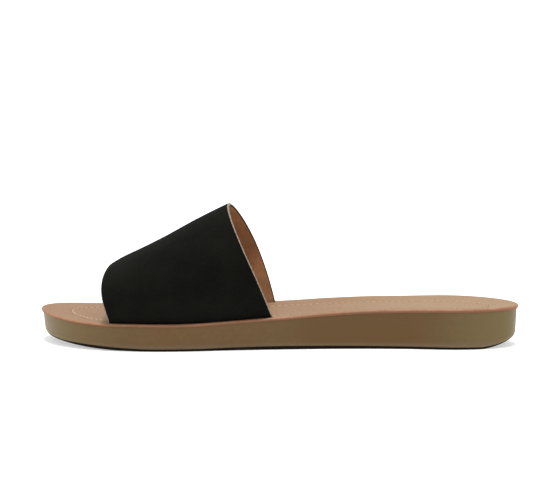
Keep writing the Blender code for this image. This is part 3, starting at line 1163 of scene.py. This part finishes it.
@dataclass
class Strap:
    """The upper: one wide wall of nubuck, lined, over the foot from slot to slot."""

    last: Last
    wall: float = 0.0019
    front: float = 0.0398
    foot: float = 0.0853
    slot_inset: float = 0.0028
    slot_depth: float = 0.0030
    front_crest: float = 0.0261
    collar_crest: float = 0.0558
    front_bulge: float = 0.0011
    front_setback: float = 0.0038
    collar_setback: float = 0.0256
    front_belly: float = 0.0035
    collar_belly: float = 0.0085
    front_droop: float = 0.0012
    droop_run: float = 0.0140
    crest_crown: float = 0.0006
    crest_wave: float = 0.0005
    crest_shift: float = 0.0030
    medial_lead: float = 0.0025
    front_widest: float = 0.36
    collar_widest: float = 0.50
    front_round: float = 2.30
    collar_round: float = 2.03
    belly_power: float = 1.7
    lateral_lean: float = 0.26
    medial_lean: float = 0.30
    edge_soft: float = 0.00050
    edge_segments: int = 3
    crisp: float = 50.0
    steps: int = 72
    foot_steps: int = 4
    side_steps: int = 16
    top_steps: int = 32

    def foot_x(self, t: float, side: Side) -> float:
        """X along the strap's foot, where t runs from the front edge to the collar."""
        length = self.foot - (self.medial_lead if side == Side.MEDIAL else 0)
        return -self.last.length / 2 + self.front + length * t

    def foot_place(self, x: float, side: Side, inset: float) -> Vector:
        """Point at this inset from the edge nearest this X, in plan."""
        turn = math.acos(max(min(-2 * x / self.last.length, 1), -1)) / math.pi
        return self.last.inset_point(turn, side, inset)

    def crest_height(self, t: float) -> float:
        """Height of the crest over the footbed's edge.

        Args:
            t: 0 at the front edge and 1 at the collar.

        Returns:
            The height.
        """
        droop = self.front_droop * max(1 - t * self.foot / self.droop_run, 0.0) ** 2
        line = self.front_crest + (self.collar_crest - self.front_crest) * t
        curve = self.crest_crown * 4 * t * (1 - t) - self.crest_wave * math.sin(2 * math.pi * t)
        return line + curve - droop

    def half(self, t: float, side: Side) -> tuple[Vector, list[Vector], Vector]:
        """One half of a row across the strap.

        Args:
            t: 0 at the front edge and 1 at the collar.
            side: Which side.

        Returns:
            The foot, the points from it up to just under the crest, and the crest.
        """

        def between(front: float, collar: float) -> float:
            """The value at this t."""
            return front + (collar - front) * t

        x_foot = self.foot_x(t, side)
        foot = self.foot_place(x_foot, side, self.slot_inset)
        base = self.last.edge_top(x_foot)
        rise = self.last.edge_top(self.foot_x(t, Side.LATERAL)) + self.crest_height(t) - base
        belly = between(self.front_belly, self.collar_belly)
        widest = between(self.front_widest, self.collar_widest)
        power = 2 / between(self.front_round, self.collar_round)
        lean = self.lateral_lean if side == Side.LATERAL else self.medial_lean

        def place(share: float, y: float) -> Vector:
            """Places a point of this half.

            Args:
                share: Its share of the crest's height.
                y: Where it lies across the shoe.

            Returns:
                The point.
            """
            bulge = self.front_bulge * CUBIC_PEAK * share**2 * (1 - share)
            leaned = share * (1 - lean * (1 - share))
            back = between(self.front_setback * share + bulge, self.collar_setback * leaned)
            lead = (self.foot_x(t, Side.LATERAL) - foot.x) * share
            return Vector((foot.x + lead - back, y, base + rise * share))

        points = []
        for step in range(self.side_steps):
            share = widest * step / self.side_steps
            swell = belly * (1 - (1 - share / widest) ** self.belly_power)
            points.append(place(share, foot.y + side * swell))
        reach = side * (foot.y + side * belly - self.crest_shift)
        for step in range(self.top_steps):
            up, out = quarter(step, self.top_steps)
            share = widest + (1 - widest) * up**power
            points.append(place(share, self.crest_shift + side * reach * out**power))
        return foot, points, place(1.0, self.crest_shift)

    def row(self, t: float) -> list[Vector]:
        """Points across the strap, from one hidden end over the crest to the other.

        Args:
            t: 0 at the front edge and 1 at the collar.

        Returns:
            The points of the outer face.
        """
        halves = []
        for side in Side:
            foot, points, crest = self.half(t, side)
            depth = self.last.footbed_thick + self.last.clearance + self.slot_depth
            falls = [depth * (1 - step / self.foot_steps) for step in range(self.foot_steps)]
            hidden = [Vector((foot.x, foot.y, points[0].z - fall)) for fall in falls]
            halves.append(hidden + points)
        return halves[0] + [crest] + halves[1][::-1]

    def sheet(self, name: str, rows: Sequence[Sequence[Vector]], wall: float) -> bpy.types.Object:
        """Bends a grid onto rows of points and gives it a wall to its inside.

        Args:
            name: The piece's name.
            rows: Rows of points, from the toe to the heel.
            wall: The wall's thickness.

        Returns:
            The walled sheet.
        """
        deselect_all()
        across, along, size = len(rows[0]) - 1, len(rows) - 1, self.last.length
        bpy.ops.mesh.primitive_grid_add(x_subdivisions=along, y_subdivisions=across, size=size)
        piece = name_new(name)
        for vert in piece.data.vertices:
            row = round((vert.co.x / size + 0.5) * along)
            column = round((vert.co.y / size + 0.5) * across)
            vert.co = rows[row][column] - Vector((0, self.last.middle_y, 0))
        walled = piece.modifiers.new("wall", "SOLIDIFY")
        walled.thickness = wall
        walled.offset = -1
        walled.use_even_offset = True
        walled.material_offset = int(Layer.LINING)
        walled.material_offset_rim = int(Layer.RAW_EDGE)
        return piece

    def soften(self, piece: bpy.types.Object) -> None:
        """Rounds the cut edge: pale on the nubuck's side, and dark where it turns to the lining.

        Args:
            piece: The strap.
        """
        take_up(piece)
        bpy.ops.object.mode_set(mode="EDIT")
        bpy.ops.mesh.select_mode(type="EDGE")
        for face_kind, bevel_kind in ((Layer.NUBUCK, Layer.RAW_EDGE), (Layer.LINING, Layer.NUBUCK)):
            bpy.ops.mesh.select_all(action="DESELECT")
            mesh = bmesh.from_edit_mesh(piece.data)
            for edge in mesh.edges:
                kinds = {face.material_index for face in edge.link_faces}
                edge.select = kinds == {int(face_kind), int(Layer.RAW_EDGE)}
            bmesh.update_edit_mesh(piece.data)
            bevel = {"offset": self.edge_soft, "segments": self.edge_segments, "material": int(bevel_kind)}
            bpy.ops.mesh.bevel(affect="EDGES", **bevel)
        bpy.ops.mesh.select_mode(type="VERT")
        bpy.ops.object.mode_set(mode="OBJECT")

    def cutter(self, side: Side) -> bpy.types.Object:
        """A curved plate a little larger than the strap's end, which cuts its slot.

        Args:
            side: Which side.

        Returns:
            The plate.
        """
        last = self.last
        over = last.clearance / self.foot
        rows = []
        for step in range(self.steps + 1):
            x = self.foot_x(-over + (1 + 2 * over) * step / self.steps, side)
            foot = self.foot_place(x, side, self.slot_inset - last.clearance)
            top = last.edge_top(x) + last.footbed_thick
            bottom = last.edge_top(x) - last.footbed_thick - self.slot_depth - 2 * last.clearance
            rows.append([Vector((foot.x, foot.y, bottom)), Vector((foot.x, foot.y, top))][:: -side])
        plate = self.sheet(f"slot_{side.name.lower()}", rows, self.wall + 2 * last.clearance)
        apply_all(plate)
        return plate

    def build(self) -> bpy.types.Object:
        """Builds and dresses the strap.

        Returns:
            The piece.
        """
        rows = [self.row(step / self.steps) for step in range(self.steps + 1)]
        piece = self.sheet("strap_band", rows, self.wall)
        for finish in (Nubuck(), Lining(), RawEdge()):
            piece.data.materials.append(finish.make())
        apply_all(piece)
        self.soften(piece)
        smooth(piece, self.crisp)
        return hand_in(piece, ["strap"])


@dataclass
class Sole:
    """The moulded unit sole, with its tread."""

    last: Last
    lip: float = 0.0009
    wall_taper: float = 0.0006
    toe_taper: float = 0.0004
    bottom_radius: float = 0.0026
    tread_inset: float = 0.0010
    tread_spring_power: float = 2.2
    tread_soft: float = 0.0003
    tread_slack: float = 0.00002
    seat_gap: float = 0.00005
    seat_insets: tuple[float, ...] = (0.0030, 0.0055, 0.0095, 0.0150)
    crisp: float = 40.0
    stations: int = 260
    round_steps: int = 8
    wall_steps: int = 5
    span: int = 36
    tread_pitch: float = 0.0060
    tread_depth: float = 0.0007
    tread_wave: float = 0.0030
    tread_wave_pitch: float = 0.0240
    groove: Span = (0.35, 0.75)
    tread_border: float = 0.0115
    border_run: float = 0.0020
    zones: tuple[tuple[Span, Span], ...] = (((0.06, 0.10), (0.40, 0.44)), ((0.68, 0.72), (0.92, 0.96)))

    def wall_foot(self, x: float) -> float:
        """Inset of the wall's foot from the footbed's edge."""
        return self.lip + self.wall_taper + self.toe_taper * self.last.near_toe(x, self.last.toe_round)

    def tread_bottom(self, x: float) -> float:
        """Height of the tread above the floor, which rises at the toe later than the wall's foot.

        Args:
            x: Where along the shoe.

        Returns:
            The height.
        """
        last = self.last
        toe = last.near_toe(x, last.toe_spring_run)
        return last.bottom_lift(x) - last.toe_spring * (toe**last.lift_power - toe**self.tread_spring_power)

    def tread_top(self, x: float) -> float:
        """Height above the floor at which the dark tread meets the wall's rounded foot."""
        return self.last.bottom_lift(x) + read_column(TREAD_EDGE, "tall", self.last.share(x))

    def darken_tread(self, piece: bpy.types.Object) -> None:
        """Gives every face below the wall's foot the tread's finish, whose near-black band also serves as painted
        shadow along the sole's foot.

        Args:
            piece: The sole.
        """
        piece.data.materials.append(TreadRubberAndShade().make())
        for face in piece.data.polygons:
            face.material_index = int(face.center.z < self.tread_top(face.center.x) - self.tread_slack)

    def tread(self, x: float, y: float) -> float:
        """Height of the bottom, with wavy grooves under the ball and the heel.

        Args:
            x: Where along the shoe.
            y: Where across it.

        Returns:
            The height above the floor.
        """
        share = self.last.share(x)
        zone = sum(smooth_step(*first, share) * (1 - smooth_step(*last, share)) for first, last in self.zones)
        gap = min(abs(self.last.outline_y(x, side) - y) for side in Side)
        zone *= smooth_step(self.tread_border, self.tread_border + self.border_run, gap)
        bend = self.tread_wave * math.cos(2 * math.pi * y / self.tread_wave_pitch)
        groove = smooth_step(*self.groove, math.sin(2 * math.pi * (x + bend) / self.tread_pitch))
        return self.tread_bottom(x) + self.tread_depth * zone * groove

    def build(self, cutters: Sequence[bpy.types.Object]) -> bpy.types.Object:
        """Builds and dresses the sole.

        Args:
            cutters: Plates that cut the strap's slots.

        Returns:
            The piece.
        """
        last = self.last
        body = RingBody("sole_unit", last, self.stations)

        def seat(inset: float) -> Along:
            """Height of the footbed's seat at this inset."""
            return lambda x: last.edge_top(x) - last.thick(x) - self.seat_gap - last.cup_fall(x, inset)

        def tread_edge(x: float) -> float:
            """Inset of the tread's edge."""
            return self.wall_foot(x) + self.tread_inset

        body.ring(lambda x: tread_edge(x) + self.tread_soft, self.tread_bottom)
        body.ring(tread_edge, lambda x: self.tread_bottom(x) + self.tread_soft / 2)
        body.ring(tread_edge, self.tread_top)
        start = math.asin(1 - self.tread_inset / self.bottom_radius)
        turn = math.pi / 2 - start
        round_top = self.bottom_radius * math.cos(start)
        for step in range(1, self.round_steps + 1):
            angle = start + turn * step / self.round_steps
            body.ring(
                lambda x: self.wall_foot(x) + self.bottom_radius * (1 - math.sin(angle)),
                lambda x: self.tread_top(x) + round_top - self.bottom_radius * math.cos(angle),
            )
        for step in range(1, self.wall_steps + 1):
            share = step / self.wall_steps
            body.ring(
                lambda x: self.wall_foot(x) + (self.lip - self.wall_foot(x)) * share,
                lambda x: (self.tread_top(x) + round_top) * (1 - share) + seat(self.lip)(x) * share,
            )
        for inset in self.seat_insets:
            body.ring(lambda x: inset, seat(inset))
        body.fill(body.rings, self.span, lambda x, y: seat(last.cup_run)(x))
        body.fill(1, self.span, self.tread)
        piece = body.finish([0.0] * (2 * self.stations + 1), self.crisp)
        piece.data.materials.append(MouldedSole().make())
        self.darken_tread(piece)
        cut_slots(piece, cutters)
        smooth(piece, self.crisp)
        return hand_in(piece, ["sole"])


def cut_slots(piece: bpy.types.Object, cutters: Sequence[bpy.types.Object]) -> None:
    """Cuts the strap's slots into a piece.

    Args:
        piece: The piece.
        cutters: The plates that cut them.
    """
    for cutter in cutters:
        slot = piece.modifiers.new(cutter.name, "BOOLEAN")
        slot.operation = "DIFFERENCE"
        slot.solver = "EXACT"
        slot.object = cutter
    apply_all(piece)


@dataclass
class Footbed:
    """The footbed's sheet, with a rounded edge, a cup and a pressed line for the stitches."""

    last: Last
    stations: int = 240
    round_steps: int = 6
    span: int = 30
    channel_inset: float = 0.0150
    channel_half: float = 0.0009
    channel_steps: int = 3
    channel_depth: float = 0.00030
    toe_more: float = 0.0015
    toe_more_run: float = 0.16
    crisp: float = 60.0
    pitch: float = 0.0034
    stitch_length: float = 0.0025
    stitch_width: float = 0.00062
    stitch_sides: int = 8
    stitch_cuts: int = 5
    stitch_tip: float = 0.35
    stitch_dive: float = 0.8
    stitch_stand: float = 0.55
    stitch_crisp: float = 70.0
    under_insets: tuple[float, ...] = (0.0150, 0.0095, 0.0050)
    top_insets: tuple[float, ...] = (0.0013, 0.0018, 0.0025, 0.0036, 0.0050, 0.0068, 0.0090, 0.0115, 0.0135)
    inner_insets: tuple[float, ...] = (0.0170, 0.0195)

    def extra(self, x: float) -> float:
        """How much further in the stitched line lies round the toe."""
        return self.toe_more * (1 - smooth_step(0.0, self.toe_more_run, self.last.share(x)))

    def top(self, x: float, inset: float) -> float:
        """Height of the top face, without the pressed line."""
        return self.last.edge_top(x) - self.last.cup_fall(x, inset)

    def channel(self, off: float) -> float:
        """Depth of the pressed line at this distance from its middle."""
        return self.channel_depth * (1 - smooth_step(0.0, self.channel_half, abs(off)))

    def line(self, body: RingBody) -> list[Vector]:
        """Runs the middle of the stitched line round the shoe.

        Args:
            body: The sheet that is sewn.

        Returns:
            One point for each of its stations.
        """
        points = []
        for number, edge in enumerate(body.edge):
            place = body.spot(number, self.channel_inset + self.extra(edge.x))
            place.z = self.top(place.x, self.channel_inset) - self.channel_depth
            points.append(place + body.first)
        return points

    def build(self, cutters: Sequence[bpy.types.Object]) -> list[bpy.types.Object]:
        """Builds and dresses the sheet and its stitches.

        Args:
            cutters: Plates that cut the strap's slots.

        Returns:
            The pieces.
        """
        last = self.last
        body = RingBody("footbed_sheet", last, self.stations)

        def under(inset: float) -> Along:
            """Height of the underside at this inset."""
            return lambda x: last.edge_top(x) - last.thick(x) - last.cup_fall(x, inset)

        for inset in self.under_insets:
            body.ring(lambda x: inset, under(inset))
        for step in range(2 * self.round_steps + 1):
            out, up = quarter(step, self.round_steps)
            body.ring(
                lambda x: last.edge_round * (1 - out),
                lambda x: last.edge_top(x) - last.thick(x) / 2 * (1 + up),
            )
        for inset in self.top_insets:
            body.ring(lambda x: inset, lambda x: self.top(x, inset))
        for step in range(-self.channel_steps, self.channel_steps + 1):
            off = self.channel_half * step / self.channel_steps
            inset = self.channel_inset + off
            body.ring(lambda x: inset + self.extra(x), lambda x: self.top(x, inset) - self.channel(off))
        for inset in self.inner_insets:
            body.ring(lambda x: inset + self.extra(x), lambda x: self.top(x, inset))
        body.fill(body.rings, self.span, lambda x, y: self.top(x, last.cup_run))
        body.fill(1, self.span, lambda x, y: under(last.cup_run)(x))
        line = self.line(body)
        run = [0.0]
        for here, after in zip(line, line[1:] + line[:1]):
            run.append(run[-1] + (after - here).length)
        count = round(run[-1] / self.pitch)
        pitch = run[-1] / count
        sheet = body.finish(run, self.crisp)
        sheet.data.materials.append(FootbedLeather(channel_inset=self.channel_inset, pitch=pitch).make())
        cut_slots(sheet, cutters)
        smooth(sheet, self.crisp)
        stitches = self.sew(line, run, count)
        return [hand_in(sheet, ["footbed"]), hand_in(stitches)]

    def stitch(self) -> bpy.types.Object:
        """One stitch: a short thread that dives at both ends.

        Returns:
            The stitch, along X, with its middle at the origin.
        """
        deselect_all()
        size = {"radius": self.stitch_width / 2, "depth": self.stitch_length}
        bpy.ops.mesh.primitive_cylinder_add(vertices=self.stitch_sides, **size)
        piece = bpy.context.object
        bpy.ops.object.mode_set(mode="EDIT")
        bpy.ops.mesh.select_all(action="SELECT")
        bpy.ops.transform.rotate(value=math.pi / 2, orient_axis="Y", center_override=(0, 0, 0))
        bpy.ops.mesh.select_mode(type="EDGE")
        bpy.ops.mesh.select_all(action="DESELECT")
        mesh = bmesh.from_edit_mesh(piece.data)
        for edge in mesh.edges:
            edge.select = abs(edge.verts[0].co.x - edge.verts[1].co.x) > self.stitch_length / 2
        bmesh.update_edit_mesh(piece.data)
        bpy.ops.mesh.subdivide(number_cuts=self.stitch_cuts)
        bpy.ops.mesh.select_mode(type="VERT")
        mesh = bmesh.from_edit_mesh(piece.data)
        for vert in mesh.verts:
            share = min(abs(vert.co.x) / (self.stitch_length / 2), 1.0)
            girth = self.stitch_tip + (1 - self.stitch_tip) * (1 - share**3) ** 0.5
            vert.co.y *= girth
            vert.co.z *= girth
            vert.co.z -= self.stitch_width * self.stitch_dive * share**2
        bmesh.update_edit_mesh(piece.data)
        bpy.ops.object.mode_set(mode="OBJECT")
        return piece

    def sew(self, line: Sequence[Vector], run: Sequence[float], count: int) -> bpy.types.Object:
        """Lays copies of one stitch along the line.

        Args:
            line: The line's points.
            run: Length along it at each point.
            count: How many stitches.

        Returns:
            The stitches as one piece.
        """
        model = self.stitch()
        copies = []
        for number in range(count):
            at = run[-1] * (number + 0.5) / count
            index = max(place for place in range(len(line)) if run[place] <= at)
            start, end = line[index], line[(index + 1) % len(line)]
            share = (at - run[index]) / (run[index + 1] - run[index])
            middle = start.lerp(end, share) + Vector((0, 0, self.stitch_width * self.stitch_stand))
            forward = (end - start).normalized()
            turn = forward.to_track_quat("X", "Z")
            copy = model.copy()
            copy.data = model.data.copy()
            bpy.context.collection.objects.link(copy)
            for vert in copy.data.vertices:
                vert.co = middle + turn @ vert.co
            copies.append(copy)
        bpy.data.objects.remove(model)
        deselect_all()
        for copy in copies:
            copy.select_set(True)
        bpy.context.view_layer.objects.active = copies[0]
        bpy.ops.object.join()
        piece = name_new("footbed_stitches")
        piece.data.materials.append(Thread().make())
        smooth(piece, self.stitch_crisp)
        return piece


@dataclass
class Studio:
    """The card floor, the soft light all round and the camera."""

    target: Vector = field(default_factory=lambda: Vector((0.0, 0.0, 0.030)))
    elevation: float = 7.10
    azimuth: float = 3.10
    distance: float = 1.500
    pixels_per_mm: float = 1.900
    frame_width: int = 559
    aim_up: float = 0.01845
    aim_across: float = 0.0006
    card_size: float = 60.0
    sensor: float = 36.0
    sight: float = 200.0
    front_glow: float = 0.60
    front_span: Span = (-0.6, 0.1)
    back_glow: float = 0.80
    toe_glow: float = 0.95
    toe_span: Span = (-1.0, -0.35)
    heel_glow: float = 0.60
    heel_span: Span = (0.45, 1.0)
    low_span: Span = (0.2, 0.7)
    background: float = 1.0
    key_strength: float = 3.0
    key_spread: float = 14.0
    key_lean: float = 3.0

    def key(self) -> None:
        """Hangs one large soft light overhead, leaned a little to the lateral side."""
        data = bpy.data.lights.new("overhead", "SUN")
        data.energy = self.key_strength
        data.angle = math.radians(self.key_spread)
        lamp = bpy.data.objects.new("overhead", data)
        bpy.context.collection.objects.link(lamp)
        lamp.rotation_euler = (math.radians(self.key_lean), 0, 0)

    def light(self) -> None:
        """Lights the scene all round, less from the lateral side and more from low down at both ends."""
        scene = bpy.context.scene
        scene.view_settings.view_transform = "Standard"
        world = bpy.data.worlds.new("studio_light")
        world.use_nodes = True
        scene.world = world
        sketch = Sketch(world.node_tree)
        shader = world.node_tree.nodes["Background"]
        bearing = sketch.add("SeparateXYZ", {0: sketch.add("TexCoord").outputs["Generated"]})
        front = sketch.between(bearing.outputs["Y"], *self.front_span, 1.0, 0.0)
        glow = sketch.add("Mix", {0: front, 2: self.back_glow, 3: self.front_glow}, data_type="FLOAT").outputs[0]
        toe = sketch.between(bearing.outputs["X"], *self.toe_span, self.toe_glow, 0.0)
        heel = sketch.between(bearing.outputs["X"], *self.heel_span, 0.0, self.heel_glow)
        near_floor = sketch.between(bearing.outputs["Z"], *self.low_span, 1.0, 0.0)
        ends = sketch.sum("MULTIPLY", sketch.sum("ADD", toe, heel), near_floor)
        glow = sketch.sum("ADD", glow, ends)
        seen = sketch.add("LightPath").outputs["Is Camera Ray"]
        level = sketch.add("Mix", {0: seen, 2: glow, 3: self.background}, data_type="FLOAT").outputs[0]
        world.node_tree.links.new(level, shader.inputs["Strength"])
        shader.inputs["Color"].default_value = (1.0, 1.0, 1.0, 1.0)

    def floor(self) -> None:
        """Lays the card."""
        deselect_all()
        bpy.ops.mesh.primitive_plane_add(size=self.card_size)
        card = bpy.context.object
        card.name = "studio_card"
        card.data.materials.append(StudioFloor().make())

    def camera(self) -> None:
        """Sets the camera where the picture was taken from."""
        tilt, turn = math.radians(self.elevation), math.radians(self.azimuth)
        forward = Vector((-math.sin(turn) * math.cos(tilt), math.cos(turn) * math.cos(tilt), -math.sin(tilt)))
        data = bpy.data.cameras.new("camera")
        data.sensor_fit = "HORIZONTAL"
        data.sensor_width = self.sensor
        focal_pixels = self.pixels_per_mm * 1000 * self.distance
        data.lens = focal_pixels / self.frame_width * data.sensor_width
        data.clip_end = self.sight
        camera = bpy.data.objects.new("camera", data)
        bpy.context.collection.objects.link(camera)
        camera.location = self.target - forward * self.distance
        aim = self.target + Vector((self.aim_across, 0, self.aim_up)) - camera.location
        camera.rotation_mode = "QUATERNION"
        camera.rotation_quaternion = aim.to_track_quat("-Z", "Y")
        bpy.context.scene.camera = camera


def main() -> None:
    """Builds the sandal and its studio."""
    logging.basicConfig(level=logging.INFO, format="%(name)s: %(message)s")
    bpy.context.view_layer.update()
    last = Last()
    strap = Strap(last)
    cutters = [strap.cutter(side) for side in Side]
    Sole(last).build(cutters)
    Footbed(last).build(cutters)
    for cutter in cutters:
        bpy.data.objects.remove(cutter)
    strap.build()
    studio = Studio()
    studio.key()
    studio.light()
    studio.floor()
    studio.camera()


if __name__ == "__main__":
    main()
